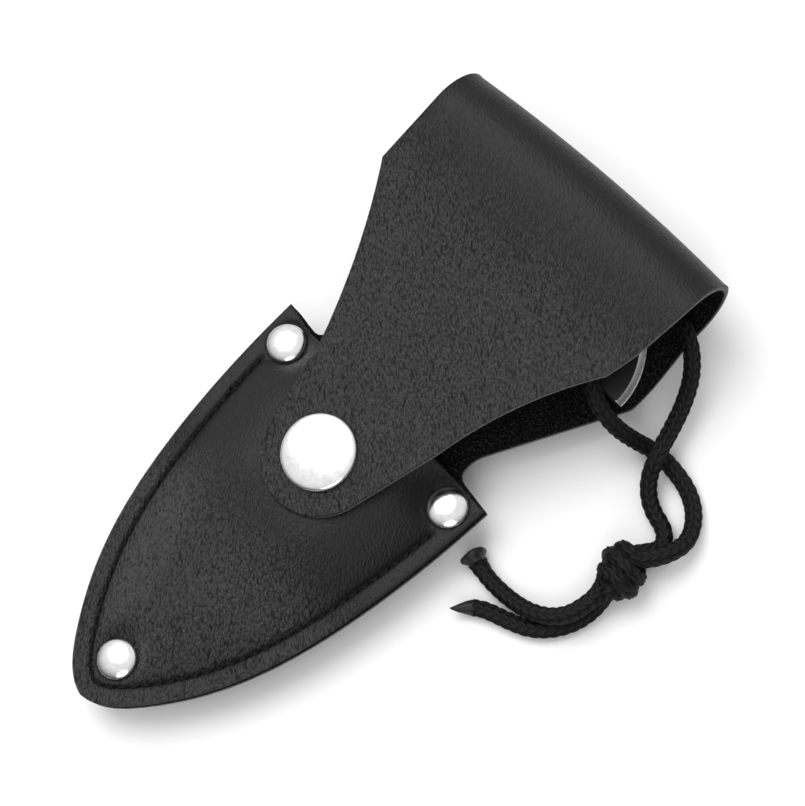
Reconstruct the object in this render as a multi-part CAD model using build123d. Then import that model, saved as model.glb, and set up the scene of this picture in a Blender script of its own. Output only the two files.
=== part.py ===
from build123d import *
import os
from math import asin, atan2, cos, degrees, hypot, pi, radians, sin, tan

os.makedirs("parts", exist_ok=True)

# Frame: +X across the sheath towards the lanyard, +Y from the pocket's point to the fold,
# +Z up out of the back. The sheath lies on its belt loop. Millimetres.

# ---- driving dimensions -------------------------------------------------------------
OVERALL_LENGTH = 149.2          # point of the pocket to the outside of the fold
LEATHER = 1.7                   # hide thickness
POCKET_LENGTH = 85.4
POCKET_WIDTH = 62.8             # at the mouth
SHOULDER_WIDTH = 73.2           # widest part of the back panel
FLAP_WIDTH = 68.8               # flap at its shoulders
NECK_WIDTH = 42.6
NECK_FOOT = 1.2                 # mouth corner to the start of the neck
NECK_TOP = 6.2                  # and to where the neck starts to widen
NECK_FILLET = 2.5
NECK_BEND_RUN = 2.18            # length that the bend at the neck's top takes of each side
SHOULDER_FILLET = 3.0
SHOULDER_FROM_FOLD = 18.4       # fold axis to the shoulder corner
FOLD_RADIUS = 9.5               # outside of the fold
FOLD_TAPER = 0.4                # fold narrower than the shoulders, each side

SEAM_INSET = 4.0                # seam line to cut edge
STITCH_PITCH = 2.6
STITCH_LENGTH = 2.0
THREAD = 0.7
STITCH_PROUD = 0.25             # thread standing above the hide

DOME_INSET = 6.5                # cut edge to the foot of the moulded pocket
DOME_RUN = 5.0                  # width of the moulded slope
BLADE_PLAY = 0.25               # air above the tool, under the snap's post

RIVET_CAP_DIAMETER = 8.0
RIVET_CAP_HEIGHT = 1.6
RIVET_SHANK_DIAMETER = 2.8
RIVET_BACK_HEIGHT = 0.9
TIP_RIVET_FROM_POINT = 10.4
MOUTH_RIVET_BELOW_MOUTH = 5.0
MOUTH_RIVET_INSET = 6.1
FIT = 0.05                      # radial clearance of posts in their holes

SNAP_BELOW_MOUTH = 16.5
SNAP_GAP = 1.05 + FOLD_RADIUS / 10   # flap to pocket when snapped: more under a steeper flap
SNAP_CAP_DIAMETER = 15.2
SNAP_CAP_HEIGHT = 1.5
SNAP_POST_DIAMETER = 3.6
SNAP_FLANGE = 0.45
SNAP_FLANGE_DIAMETER = 9.0
SOCKET_DIAMETER = 12.4
SOCKET_BORE = 7.8
SOCKET_HEIGHT = 1.0
SOCKET_WEB = 0.3
SPRING_WIRE = 0.4
STUD_BASE_DIAMETER = 9.0
STUD_BASE = 0.4
STUD_HEAD_DIAMETER = 6.0
STUD_HEIGHT = 1.3
TAB_RADIUS = 12.3
FLAP_EXTRA_OPEN = 3.0           # degrees past lying level
RELIEF_MARGIN = 0.15

STRAP = 2.0                     # belt loop hide thickness
STRAP_WIDTH = 30.0
BELT_SLOT_HEIGHT = 5.0
BELT_SLOT_LENGTH = 42.0
STRAP_TAB = 10.0
STRAP_CENTRE_FROM_FOLD = 43.3

BLADE_THICKNESS = 3.0
BIT_PLAY = 0.4                  # bit short of the shoulders, each side
BIT_DEPTH = 24.3                # straight back to the crown of the edge
WAIST_WIDTH = 19.0
POINT_SHARE = 0.5255            # width of the tool's point in that of the pocket
BLADE_FROM_TIP_RIVET = 12.0     # tip rivet to the tool's point
BIT_BACK_FROM_FOLD = 20.4       # fold axis to the straight back of the bit
BACK_FILLET = 12.0
BELLY_AT = 0.40                 # widest part of the point, in its whole length
WAIST_AT = 0.66                 # start of the waist, in the same
GRIND_DEPTH = 1.2
GRIND_WIDTH = 1.4
BLADE_LIFT = 0.15               # tool's point above the hide
LANYARD_HOLE_DIAMETER = 6.0
LANYARD_HOLE_X = 10.0
LANYARD_HOLE_FROM_BACK = 8.1

CORD = 3.4
CORD_AIR = 0.5                  # slack where the cord passes under the bit

# ---- places worked out from them ----------------------------------------------------
BACK_Z = STRAP + BELT_SLOT_HEIGHT               # underside of the back panel
INSIDE_Z = BACK_Z + LEATHER
FLANGE_Z = INSIDE_Z + LEATHER
TIP_Y = -OVERALL_LENGTH / 2
FOLD_Y = OVERALL_LENGTH / 2 - FOLD_RADIUS
FOLD_Z = BACK_Z + FOLD_RADIUS
FOLD_BORE = FOLD_RADIUS - LEATHER
FOLD_WIDTH = SHOULDER_WIDTH - 2 * FOLD_TAPER
HINGE_RELIEF = FOLD_RADIUS * tan(radians(FLAP_EXTRA_OPEN)) + RELIEF_MARGIN  # flat strip of the fold
BACK_END_Y = FOLD_Y - HINGE_RELIEF
MOUTH_Y = TIP_Y + POCKET_LENGTH
SHOULDER_Y = FOLD_Y - SHOULDER_FROM_FOLD
TIP_RIVET = (0, TIP_Y + TIP_RIVET_FROM_POINT)
MOUTH_RIVET_Y = MOUTH_Y - MOUTH_RIVET_BELOW_MOUTH
MOUTH_RIVET_X = POCKET_WIDTH / 2 - MOUTH_RIVET_INSET
MOUTH_RIVETS = [(-MOUTH_RIVET_X, MOUTH_RIVET_Y), (MOUTH_RIVET_X, MOUTH_RIVET_Y)]
SNAP_Y = MOUTH_Y - SNAP_BELOW_MOUTH
SNAP_FROM_FOLD = FOLD_Y - SNAP_Y
SEAT_RADIUS = RIVET_CAP_DIAMETER / 2 + 0.6      # flat left around a rivet

POINT_Y = TIP_RIVET[1] + BLADE_FROM_TIP_RIVET
POINT_WIDTH = POINT_SHARE * POCKET_WIDTH
BIT_WIDTH = SHOULDER_WIDTH - 2 * BIT_PLAY
BACK_FROM_POINT = FOLD_Y - BIT_BACK_FROM_FOLD - POINT_Y
HOLE_FROM_POINT = BACK_FROM_POINT + LANYARD_HOLE_FROM_BACK
TILT = degrees(atan2(CORD + CORD_AIR - BLADE_LIFT, HOLE_FROM_POINT))
BLADE_FRAME = Pos(0, POINT_Y, INSIDE_Z + BLADE_LIFT) * Rot(TILT, 0, 0)


def blade_top(y):
    """Height of the tool's upper face above y."""
    return INSIDE_Z + BLADE_LIFT + (y - POINT_Y) * tan(radians(TILT)) + BLADE_THICKNESS / cos(radians(TILT))


POCKET_INSIDE_Z = max(blade_top(SNAP_Y) + BLADE_PLAY + SNAP_FLANGE, blade_top(MOUTH_Y) + BLADE_PLAY)
POCKET_TOP_Z = POCKET_INSIDE_Z + LEATHER

SNAP_RISE = POCKET_TOP_Z + SNAP_GAP - FOLD_Z
FLAP_SLOPE = degrees(asin(FOLD_BORE / hypot(SNAP_FROM_FOLD, SNAP_RISE)) - atan2(SNAP_RISE, SNAP_FROM_FOLD))
SNAP_ALONG = (SNAP_FROM_FOLD - FOLD_BORE * sin(radians(FLAP_SLOPE))) / cos(radians(FLAP_SLOPE))
FLAP_FRAME = Pos(0, FOLD_Y, FOLD_Z) * Rot(FLAP_SLOPE, 0, 0)
FLAP_OPEN = 180 + FLAP_SLOPE + FLAP_EXTRA_OPEN


def both_sides(half):
    """A right-hand shape joined to its mirror image."""
    return half + mirror(half, Plane.YZ)


# ---- leather ------------------------------------------------------------------------
def leaf_side(half_width, tip, end):
    """Right-hand edge of the leaf-shaped pocket."""
    length = end - tip
    shape = [(0.36, 0.10), (0.66, 0.285), (0.90, 0.60)]
    points = [(0, tip)] + [(half_width * across, tip + length * up) for across, up in shape]
    return Spline(*points, (half_width, end), tangents=[(1.0, 0.12), (0.03, 1)])


def leaf(half_width, tip, end):
    """Leaf-shaped outline, closed straight across at its wide end."""
    side = leaf_side(half_width, tip, end)
    closing = Polyline((half_width, end), (0, end), (0, tip))
    return both_sides(make_face(side + closing))


def upper_back():
    """Neck and shoulders, up to the hinge relief."""
    half_neck = NECK_WIDTH / 2
    mouth_corner = (POCKET_WIDTH / 2, MOUTH_Y)
    fold_corner = (FOLD_WIDTH / 2, BACK_END_Y)
    neck_top = (half_neck, MOUTH_Y + NECK_TOP)
    spread = atan2(SHOULDER_WIDTH / 2 - half_neck, SHOULDER_Y - neck_top[1])
    edge = FilletPolyline(
        mouth_corner,
        (half_neck, MOUTH_Y + NECK_FOOT),
        neck_top,
        (SHOULDER_WIDTH / 2, SHOULDER_Y),
        fold_corner,
        radius=[NECK_FILLET, NECK_BEND_RUN / tan(spread / 2), SHOULDER_FILLET],
    )
    closing = Polyline(fold_corner, (0, BACK_END_Y), (0, MOUTH_Y), mouth_corner)
    return both_sides(make_face(edge + closing))


def plain_hole(centre, diameter, bottom, top):
    """A round cutter between two heights."""
    height = top - bottom
    return Pos(centre[0], centre[1], bottom + height / 2) * Cylinder(diameter / 2, height)


def make_back_panel():
    outline = leaf(POCKET_WIDTH / 2, TIP_Y, MOUTH_Y) + upper_back()
    panel = extrude(Pos(0, 0, BACK_Z) * outline, LEATHER)
    for centre in [TIP_RIVET, *MOUTH_RIVETS]:
        panel -= plain_hole(centre, RIVET_SHANK_DIAMETER + 2 * FIT, BACK_Z - 1, INSIDE_Z + 1)
    return panel


def moulding(inset, low, high, tip, end, grow=0.0):
    """Tapered leaf-shaped block with the mouth rivets' seats left out."""
    half = POCKET_WIDTH / 2 - inset
    bottom = Pos(0, 0, low) * leaf(half, tip, end)
    top = Pos(0, 0, high) * leaf(half - DOME_RUN, tip + DOME_RUN, end)
    block = loft([bottom.face(), top.face()], ruled=True)
    for x, y in MOUTH_RIVETS:
        block -= plain_hole((x, y), 2 * (SEAT_RADIUS + grow), low - 1, high + 1)
    return block


def make_pocket_front():
    """Flat sewn rim with a moulded body, open at the mouth."""
    slope = atan2(POCKET_TOP_Z - FLANGE_Z, DOME_RUN)
    dome_tip = TIP_RIVET[1] + SEAT_RADIUS + 0.5
    wall = LEATHER / sin(slope) - LEATHER / tan(slope)
    rim = extrude(Pos(0, 0, INSIDE_Z) * leaf(POCKET_WIDTH / 2, TIP_Y, MOUTH_Y), LEATHER)
    body = moulding(DOME_INSET, FLANGE_Z, POCKET_TOP_Z, dome_tip, MOUTH_Y)
    hollow = moulding(DOME_INSET + wall, INSIDE_Z, POCKET_INSIDE_Z, dome_tip + wall, MOUTH_Y + 1, LEATHER)
    front = rim + body - hollow
    front -= plain_hole((0, SNAP_Y), SNAP_POST_DIAMETER + 2 * FIT, POCKET_INSIDE_Z - 1, POCKET_TOP_Z + 1)
    for centre in [TIP_RIVET, *MOUTH_RIVETS]:
        front -= plain_hole(centre, RIVET_SHANK_DIAMETER + 2 * FIT, INSIDE_Z - 1, FLANGE_Z + 1)
    return front


def make_flap_fold():
    """Half-round strip of hide between the back panel and the flap."""
    sweep_angle = 180 + FLAP_SLOPE
    arcs = [CenterArc((0, 0), radius, -90, sweep_angle) for radius in (FOLD_BORE, FOLD_RADIUS)]
    ends = [Line(arcs[0] @ end, arcs[1] @ end) for end in (0, 1)]
    relief = Pos(-HINGE_RELIEF / 2, LEATHER / 2 - FOLD_RADIUS) * Rectangle(HINGE_RELIEF, LEATHER)
    section = Plane.YZ * (make_face(arcs + ends) + relief)
    strip = extrude(section, FOLD_WIDTH / 2, both=True)
    return Pos(0, FOLD_Y, FOLD_Z) * strip


def make_flap_panel():
    """Front flap, narrowing to a round tab about the snap."""
    half = FLAP_WIDTH / 2
    below = SNAP_ALONG - SHOULDER_FROM_FOLD
    shoulder = (half, -SHOULDER_FROM_FOLD)
    waist = (0.75 * half, -(SHOULDER_FROM_FOLD + 0.30 * below))
    bend = (0.56 * half, -(SHOULDER_FROM_FOLD + 0.69 * below))
    reach = hypot(bend[0], bend[1] + SNAP_ALONG)
    away = atan2(bend[1] + SNAP_ALONG, bend[0]) - radians(90) + asin(TAB_RADIUS / reach)
    touch = (TAB_RADIUS * cos(away), -SNAP_ALONG + TAB_RADIUS * sin(away))
    flank = ThreePointArc(shoulder, waist, bend)
    fold_corner = (FOLD_WIDTH / 2, 0)
    outline = Line(fold_corner, shoulder) + flank
    closing = Polyline(bend, touch, (0, -SNAP_ALONG), (0, 0), fold_corner)
    blank = both_sides(make_face(outline + closing)) + Pos(0, -SNAP_ALONG) * Circle(TAB_RADIUS)
    panel = extrude(Pos(0, 0, FOLD_BORE) * blank, LEATHER)
    hole = (0, -SNAP_ALONG)
    panel -= plain_hole(hole, SNAP_POST_DIAMETER + 2 * FIT, FOLD_BORE - 1, FOLD_RADIUS + 1)
    return FLAP_FRAME * panel


def make_belt_loop():
    """Strap sewn to the back at both ends, standing clear in the middle."""
    ramp = BELT_SLOT_HEIGHT
    shift = STRAP / sin(radians(45)) - STRAP
    half_slot = BELT_SLOT_LENGTH / 2
    under = [
        (half_slot - shift, 0),
        (half_slot + ramp - shift, BELT_SLOT_HEIGHT),
        (half_slot + ramp + STRAP_TAB, BELT_SLOT_HEIGHT),
    ]
    over = [(under[2][0], BACK_Z), (half_slot + ramp, BACK_Z), (half_slot, STRAP)]
    right = under + over
    left = [(-y, z) for y, z in reversed(right)]
    section = Plane.YZ * make_face(Polyline(*right, *left, close=True))
    return Pos(0, FOLD_Y - STRAP_CENTRE_FROM_FOLD, 0) * extrude(section, STRAP_WIDTH / 2, both=True)


# ---- thread -------------------------------------------------------------------------
def stitch(bottom, top):
    """One lockstitch: a bar on each face and the thread through the hide."""
    bar_height = 2 * STITCH_PROUD
    upper = Pos(0, 0, top) * Box(STITCH_LENGTH, THREAD, bar_height)
    lower = Pos(0, 0, bottom) * Box(STITCH_LENGTH, THREAD, bar_height)
    leg_x = STITCH_LENGTH / 2 - THREAD / 2
    leg = Pos(leg_x, 0, (bottom + top) / 2) * Box(THREAD, THREAD, top - bottom)
    return upper + leg + lower


def make_seam(side):
    """Stitches up one side of the pocket, from the point to the mouth rivet."""
    line = leaf_side(POCKET_WIDTH / 2 - SEAM_INSET, TIP_Y + 1.1 * SEAM_INSET, MOUTH_Y)
    one = stitch(BACK_Z, FLANGE_Z)
    count = int(line.length // STITCH_PITCH)
    stitches = []
    for number in range(count):
        along = (number + 0.5) * STITCH_PITCH / line.length
        place = line @ along
        if place.Y > MOUTH_RIVET_Y - SEAT_RADIUS - STITCH_LENGTH / 2:
            continue
        heading = line % along
        turn = degrees(atan2(heading.Y, side * heading.X))
        stitches.append(Pos(side * place.X, place.Y) * Rot(0, 0, turn) * one)
    return Compound(stitches)


def make_belt_loop_stitching():
    """Two rows across each sewn end of the belt loop."""
    one = stitch(BELT_SLOT_HEIGHT, INSIDE_Z)
    row_length = STRAP_WIDTH - 2 * SEAM_INSET
    count = int(row_length // STITCH_PITCH)
    middle = FOLD_Y - STRAP_CENTRE_FROM_FOLD
    outer_end = BELT_SLOT_LENGTH / 2 + BELT_SLOT_HEIGHT + STRAP_TAB
    stitches = []
    for side in (-1, 1):
        for inset in (2.0, STRAP_TAB - 2.0):
            y = middle + side * (outer_end - inset)
            for number in range(count):
                x = (number - (count - 1) / 2) * STITCH_PITCH
                stitches.append(Pos(x, y) * one)
    return Compound(stitches)


# ---- rivets and snap ----------------------------------------------------------------
def dome(diameter, height):
    """Solid spherical cap standing on z = 0."""
    radius = (diameter**2 / 4 + height**2) / (2 * height)
    ball = Pos(0, 0, height - radius) * Sphere(radius)
    return ball & Pos(0, 0, height / 2) * Cylinder(diameter / 2, height)


def make_rivet_cap(centre):
    cap = dome(RIVET_CAP_DIAMETER, RIVET_CAP_HEIGHT)
    cap -= plain_hole((0, 0), RIVET_SHANK_DIAMETER + 2 * FIT, -1, RIVET_CAP_HEIGHT - 0.5)
    return Pos(*centre, FLANGE_Z) * cap


def make_rivet_post(centre):
    head = Rot(180, 0, 0) * dome(RIVET_CAP_DIAMETER, RIVET_BACK_HEIGHT)
    length = 2 * LEATHER + RIVET_CAP_HEIGHT - 0.6
    post = head + Pos(0, 0, length / 2) * Cylinder(RIVET_SHANK_DIAMETER / 2, length)
    return Pos(*centre, BACK_Z) * post


def on_flap(part, height):
    """Place a snap part on the flap's snap axis, at a distance from the fold axis."""
    return FLAP_FRAME * Pos(0, -SNAP_ALONG, height) * part


def make_snap_cap():
    length = LEATHER + SOCKET_WEB
    cap = dome(SNAP_CAP_DIAMETER, SNAP_CAP_HEIGHT)
    cap += Pos(0, 0, -length / 2) * Cylinder(SNAP_POST_DIAMETER / 2, length)
    return on_flap(cap, FOLD_RADIUS)


def make_snap_socket():
    ring = Pos(0, 0, -SOCKET_HEIGHT / 2) * Cylinder(SOCKET_DIAMETER / 2, SOCKET_HEIGHT)
    ring -= plain_hole((0, 0), SOCKET_BORE, -SOCKET_HEIGHT - 1, -SOCKET_WEB)
    ring -= plain_hole((0, 0), SNAP_POST_DIAMETER + 2 * FIT, -SOCKET_HEIGHT, 1)
    return on_flap(ring, FOLD_BORE)


def make_snap_spring():
    """Open wire ring held in the socket's bore."""
    radius = SOCKET_BORE / 2 - SPRING_WIRE / 2 - FIT
    middle = -(SOCKET_WEB + SOCKET_HEIGHT) / 2
    path = CenterArc((0, 0), radius, 20, 320)
    wire = sweep(Plane(path @ 0, z_dir=path % 0) * Circle(SPRING_WIRE / 2), path=path)
    return on_flap(wire, FOLD_BORE + middle)


def make_snap_stud():
    """Base disc with a bulbed head, clinched on the pocket's post."""
    neck_height = STUD_HEIGHT - STUD_BASE
    stud = Pos(0, 0, STUD_BASE / 2) * Cylinder(STUD_BASE_DIAMETER / 2, STUD_BASE)
    stud += Pos(0, 0, STUD_BASE + neck_height / 2) * Cylinder(STUD_HEAD_DIAMETER / 2, neck_height)
    stud -= plain_hole((0, 0), SNAP_POST_DIAMETER + 2 * FIT, -1, STUD_HEIGHT - 0.3)
    return Pos(0, SNAP_Y, POCKET_TOP_Z) * stud


def make_snap_post():
    """Flanged post inside the pocket that carries the stud."""
    length = LEATHER + STUD_HEIGHT - 0.4
    post = Pos(0, 0, -SNAP_FLANGE / 2) * Cylinder(SNAP_FLANGE_DIAMETER / 2, SNAP_FLANGE)
    post += Pos(0, 0, length / 2) * Cylinder(SNAP_POST_DIAMETER / 2, length)
    return Pos(0, SNAP_Y, POCKET_INSIDE_Z) * post


# ---- tool ---------------------------------------------------------------------------
def make_hand_axe():
    """One flat steel piece: half-moon bit, waist and leaf-shaped point."""
    half_waist = WAIST_WIDTH / 2
    half_point = POINT_WIDTH / 2
    half_bit = BIT_WIDTH / 2
    belly = BELLY_AT * BACK_FROM_POINT
    waist_start = WAIST_AT * BACK_FROM_POINT
    fillet_start = BACK_FROM_POINT - BACK_FILLET
    point = Spline(
        (0, 0),
        (0.66 * half_point, 0.17 * BACK_FROM_POINT),
        (half_point, belly),
        (half_waist, waist_start),
        tangents=[(0.55, 0.83), (0, 1)],
    )
    waist = Line((half_waist, waist_start), (half_waist, fillet_start))
    curve = JernArc((half_waist, fillet_start), (0, 1), BACK_FILLET, -90)
    back = Line(curve @ 1, (half_bit, BACK_FROM_POINT))
    edge = EllipticalCenterArc((0, BACK_FROM_POINT), half_bit, BIT_DEPTH, 0, arc_size=90)
    axis = Line((0, BACK_FROM_POINT + BIT_DEPTH), (0, 0))
    plate = extrude(both_sides(make_face([point, waist, curve, back, edge, axis])), BLADE_THICKNESS)
    rim = [e for e in plate.edges() if e.geom_type == GeomType.ELLIPSE]
    plate = chamfer(rim, length=GRIND_DEPTH, length2=GRIND_WIDTH)
    hole = (LANYARD_HOLE_X, HOLE_FROM_POINT)
    plate -= plain_hole(hole, LANYARD_HOLE_DIAMETER, -1, BLADE_THICKNESS + 1)
    return BLADE_FRAME * plate


# ---- lanyard ------------------------------------------------------------------------
HOLE_Y = POINT_Y + HOLE_FROM_POINT


def slack(points):
    """Route given from the shoulder's edge in x and from the tool's lanyard hole in y."""
    return [(SHOULDER_WIDTH / 2 + x, HOLE_Y + y, z) for x, y, z in points]


KNOT_CENTRE = slack([(22.0, -30.4, 5.3)])[0]
KNOT_SIZE = (10.8, 12.8, 10.4)
KNOT_TURN = 45

HOLE_TOP = BLADE_FRAME * Pos(LANYARD_HOLE_X, HOLE_FROM_POINT, BLADE_THICKNESS + CORD / 2 + 0.15)
HOLE_BOTTOM = BLADE_FRAME * Pos(LANYARD_HOLE_X, HOLE_FROM_POINT, -CORD / 2 - 0.2)

OUTER_STRAND = slack([
    (23.4, -27.8, 5.6),
    (26.0, -22.6, 5.2),
    (26.6, -16.8, 3.2),
    (23.6, -12.2, 1.8),
    (19.3, -9.4, 1.8),
    (14.1, -8.2, 1.8),
    (8.2, -8.0, 1.8),
    (4.9, -9.9, 5.8),
    (1.1, -11.6, 11.2),
    (-3.0, -11.4, 15.2),
    (-8.2, -9.2, 17.6),
    (-17.0, -4.2, 18.0),
])
INNER_STRAND = slack([
    (-18.2, 4.6, 10.6),
    (-10.6, 10.3, 10.9),
    (-5.3, 13.2, 12.2),
    (0.0, 11.1, 12.6),
    (3.8, 7.4, 9.8),
    (5.9, 3.0, 6.4),
    (7.8, -2.4, 5.2),
    (10.1, -9.1, 6.6),
    (12.0, -14.0, 4.0),
    (15.7, -17.4, 2.4),
    (21.0, -19.5, 1.8),
    (23.8, -24.2, 1.9),
    (23.4, -28.4, 2.4),
])
MELTED_TAIL = slack([
    (22.0, -33.8, 5.6),
    (22.0, -39.2, 5.7),
    (21.2, -44.0, 5.6),
    (18.4, -47.4, 5.2),
    (14.6, -49.4, 4.0),
    (10.3, -50.4, 2.5),
    (5.4, -50.6, 1.8),
    (1.0, -50.1, 1.8),
    (-2.3, -49.3, 1.8),
])
CUT_TAIL = slack([
    (22.8, -34.4, 2.2),
    (23.0, -39.6, 1.8),
    (22.0, -44.8, 1.8),
    (19.8, -48.8, 1.8),
    (16.6, -51.9, 1.8),
    (12.6, -53.7, 1.8),
    (8.8, -55.0, 1.8),
    (5.3, -56.8, 1.8),
    (2.5, -59.6, 1.8),
])


def cord_tube(name, points):
    """Round tube of straight runs joined by arcs as large as the runs allow."""
    route = [Vector(*point) for point in points]
    runs = [b - a for a, b in zip(route, route[1:])]
    radii = []
    for before, after in zip(runs, runs[1:]):
        half_turn = radians(before.get_angle(after)) / 2
        radii.append(0.45 * min(before.length, after.length) / tan(half_turn))
    path = FilletPolyline(*route, radius=radii)
    tube = sweep(Plane(path @ 0, z_dir=path % 0) * Circle(CORD / 2), path=path)
    print(name, "length", round(path.length, 1), "radii", [round(radius, 1) for radius in radii])
    print("  tube volume", round(tube.volume, 1), "for", round(path.length * pi * CORD**2 / 4, 1))
    return tube


def make_lanyard_loop():
    """Cord from the knot, down through the tool's hole and back to the knot."""
    through = [HOLE_TOP.position, HOLE_BOTTOM.position]
    return cord_tube("lanyard_loop", OUTER_STRAND + through + INNER_STRAND)


def make_lanyard_knot():
    """Outer shape of the doubled overhand knot."""
    ball = scale(Sphere(1), by=tuple(size / 2 for size in KNOT_SIZE))
    return Pos(*KNOT_CENTRE) * Rot(0, 0, KNOT_TURN) * ball


PARTS = {
    "back_panel": make_back_panel(),
    "pocket_front": make_pocket_front(),
    "flap_fold": make_flap_fold(),
    "flap_panel": make_flap_panel(),
    "belt_loop": make_belt_loop(),
    "seam_stitching_left": make_seam(-1),
    "seam_stitching_right": make_seam(1),
    "belt_loop_stitching": make_belt_loop_stitching(),
    "snap_cap": make_snap_cap(),
    "snap_socket": make_snap_socket(),
    "snap_spring": make_snap_spring(),
    "snap_stud": make_snap_stud(),
    "snap_post": make_snap_post(),
    "hand_axe": make_hand_axe(),
    "lanyard_loop": make_lanyard_loop(),
    "lanyard_knot": make_lanyard_knot(),
    "lanyard_tail_melted": cord_tube("lanyard_tail_melted", MELTED_TAIL),
    "lanyard_tail_cut": cord_tube("lanyard_tail_cut", CUT_TAIL),
}
for label, centre in zip(("tip", "left", "right"), (TIP_RIVET, *MOUTH_RIVETS)):
    PARTS[f"rivet_cap_{label}"] = make_rivet_cap(centre)
    PARTS[f"rivet_post_{label}"] = make_rivet_post(centre)

for name, shape in PARTS.items():
    export_step(shape, f"parts/{name}.step")

print("fold axis y, z:", round(FOLD_Y, 3), round(FOLD_Z, 3), "flap opens to", round(FLAP_OPEN, 2))
print("blade tilt:", round(TILT, 4), "pocket top z:", round(POCKET_TOP_Z, 3), "snap y:", round(SNAP_Y, 3))
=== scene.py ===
# %% [markdown]
# # A leather sheath with its hand axe and lanyard
# The sheath is one long piece of hide, folded over at the top, with a moulded pocket sewn and riveted
# to its front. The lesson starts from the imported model, which fixes every size and place, and gives
# each part the shape and finish of the real thing around it.

import math

import bmesh
import bpy
import numpy as np
from mathutils import Matrix, Vector


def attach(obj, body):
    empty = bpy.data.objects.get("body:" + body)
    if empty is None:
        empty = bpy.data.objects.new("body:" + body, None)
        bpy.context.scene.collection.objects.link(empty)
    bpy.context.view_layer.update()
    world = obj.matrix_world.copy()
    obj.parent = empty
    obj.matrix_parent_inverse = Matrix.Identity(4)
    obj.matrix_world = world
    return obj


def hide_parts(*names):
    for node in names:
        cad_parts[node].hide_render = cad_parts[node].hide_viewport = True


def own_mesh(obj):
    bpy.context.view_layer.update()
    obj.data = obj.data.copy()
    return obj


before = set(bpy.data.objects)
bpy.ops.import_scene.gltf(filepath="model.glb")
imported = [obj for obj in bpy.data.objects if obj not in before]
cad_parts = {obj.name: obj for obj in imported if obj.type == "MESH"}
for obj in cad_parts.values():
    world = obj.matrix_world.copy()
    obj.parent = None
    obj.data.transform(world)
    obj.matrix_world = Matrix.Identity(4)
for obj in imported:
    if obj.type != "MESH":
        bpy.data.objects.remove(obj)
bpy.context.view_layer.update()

# %% [markdown]
# The camera looks down on the sheath from its lanyard side. A camera looks along its own -Z, so its
# three axes are worked out from the direction of view and from what is up in the picture.

# %% Set up the camera
camera_data = bpy.data.cameras.new("camera")
camera_data.lens = 89.33
camera_data.sensor_width = 36.0
camera_data.clip_start = 0.02
camera = bpy.data.objects.new("camera", camera_data)
bpy.context.scene.collection.objects.link(camera)
forward = Vector((-0.336026, 0.066087, -0.939531)).normalized()
sideways = forward.cross(Vector((-0.66824, 0.686245, 0.287268))).normalized()
camera.matrix_world = Matrix((sideways, sideways.cross(forward), -forward)).transposed().to_4x4()
camera.location = (0.141218, -0.013003, 0.398832)
bpy.context.scene.camera = camera
print("camera at", [round(v, 3) for v in camera.location])

# %% [markdown]
# ## Ways of working
# Small leather parts are easier to shape in millimetres, so each piece is made at a thousand times
# its size and brought down to metres when it is done. These helpers wrap the steps that every piece
# needs: select only this, work on its points, apply a modifier, bring it home.

# %% Helpers for selecting and finishing
MM = 0.001


def let_go():
    """Leave edit mode and deselect everything."""
    if bpy.context.object and bpy.context.object.mode != "OBJECT":
        bpy.ops.object.mode_set(mode="OBJECT")
    bpy.ops.object.select_all(action="DESELECT")


def pick(piece):
    """Select one piece and make it active."""
    let_go()
    piece.select_set(True)
    bpy.context.view_layer.objects.active = piece


def new_object(name, data):
    """An object for some data, linked into the scene."""
    made = bpy.data.objects.new(name, data)
    bpy.context.scene.collection.objects.link(made)
    return made


def open_up(piece):
    """Enter edit mode on a piece with all of it selected."""
    pick(piece)
    bpy.ops.object.mode_set(mode="EDIT")
    bpy.ops.mesh.select_all(action="SELECT")


def join(piece, *others):
    """Join other pieces into this one."""
    let_go()
    for member in (*others, piece):
        member.select_set(True)
    bpy.context.view_layer.objects.active = piece
    bpy.ops.object.join()


def finish_with(piece, kind, **settings):
    """Add a modifier and apply it."""
    pick(piece)
    modifier = piece.modifiers.new(kind, kind)
    for name, value in settings.items():
        setattr(modifier, name, value)
    bpy.ops.object.modifier_apply(modifier=modifier.name)


def points_of(piece):
    """The piece's points as rows of x, y, z."""
    flat = np.empty(len(piece.data.vertices) * 3)
    piece.data.vertices.foreach_get("co", flat)
    return flat.reshape(-1, 3)


def move_points(piece, points):
    piece.data.vertices.foreach_set("co", np.asarray(points, float).ravel())
    piece.data.update()


def at(x, y, z):
    return Matrix.Translation((x, y, z))


def make_slots(piece, count=3):
    """Give a piece empty material slots, to be filled when the finishes are made."""
    for _ in range(count):
        piece.data.materials.append(None)


def bring_home(piece, angle=40):
    """Smooth the shading and bring a piece made in millimetres to metres."""
    pick(piece)
    bpy.ops.object.transform_apply(location=True, rotation=True, scale=True)
    piece.data.transform(Matrix.Scale(MM, 4))
    bpy.ops.object.shade_smooth_by_angle(angle=math.radians(angle))
    print(piece.name, "has", len(piece.data.polygons), "faces")


def ramp(value, start, end):
    """0 before start, 1 after end and an even S between."""
    t = np.clip((value - start) / (end - start), 0, 1)
    return t * t * (3 - 2 * t)


def distances(line):
    """How far along a line each of its points lies."""
    return np.concatenate([[0], np.cumsum(np.linalg.norm(np.diff(line, axis=0), axis=1))])


def resampled(line, stations, along):
    """Points at these stations of a line whose own points are at `along`."""
    return np.stack([np.interp(stations, along, column) for column in line.T], axis=1)


# %% [markdown]
# ## Finishes
# Leather, flesh side, cut edge, thread, chrome, coated steel, ground steel and cord are each a small
# node tree on the Principled shader. `finish` makes the tree's start; `noise` and `bump` add to it.

# %% Helpers for finishes
FLAT_SIZE = 260.0


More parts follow.
